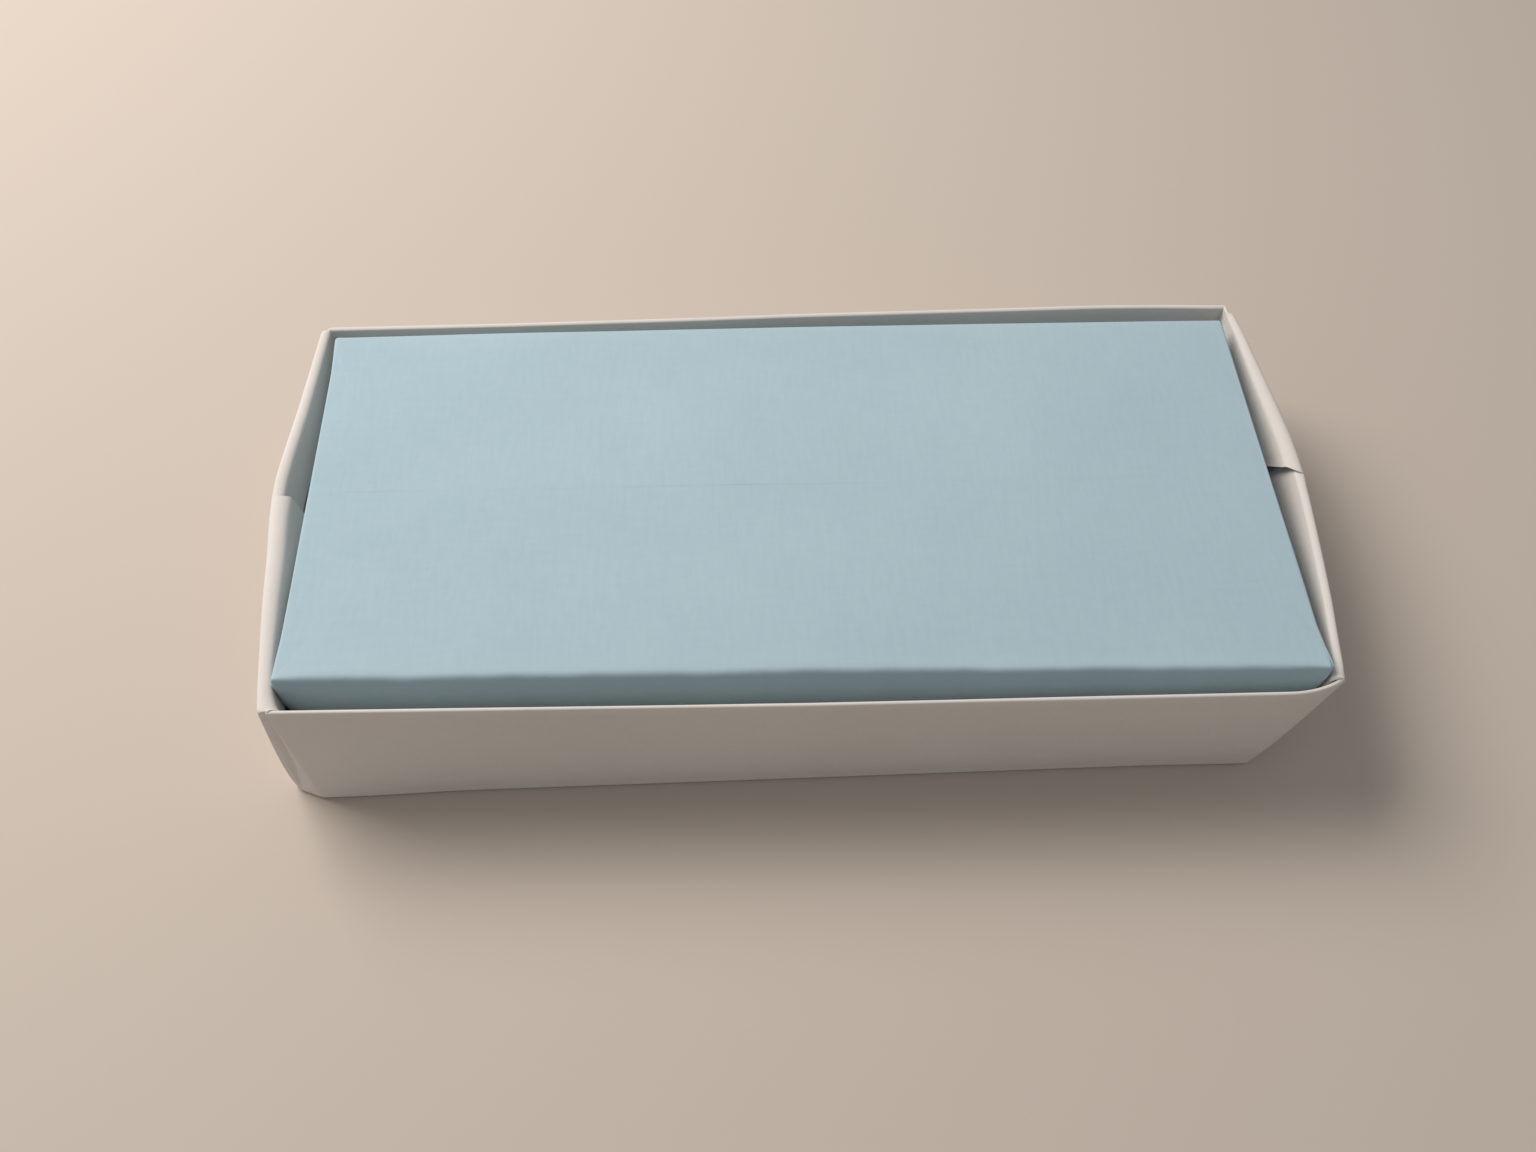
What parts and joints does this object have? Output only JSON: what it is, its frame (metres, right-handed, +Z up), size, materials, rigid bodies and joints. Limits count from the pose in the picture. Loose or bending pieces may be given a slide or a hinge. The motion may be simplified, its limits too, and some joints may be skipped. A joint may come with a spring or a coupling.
{
  "type": "folded paper box",
  "caption": "Long low box of folded paper: a white outer tray with hemmed, bulging rims and a pale blue tray upside down inside it that closes it and lifts straight out.",
  "frame": {"origin": "middle of the footprint, on the surface that the box stands on", "axes": "+X along the length, +Y to the back wall, +Z up out of the open tray"},
  "size_m": [0.225, 0.107, 0.0353],
  "materials": {
    "white_paper": "matt uncoated paper, warm white",
    "blue_paper": "matt uncoated paper, pale grey blue"
  },
  "bodies": {
    "base": {"outer_tray": "white_paper"},
    "lid": {"inner_tray": "blue_paper"}
  },
  "joints": [
    {"name": "lid_lift", "type": "slide", "parent": "base", "child": "lid", "axis": [0, 0, 1], "range_m": [0, 0.036]}
  ]
}
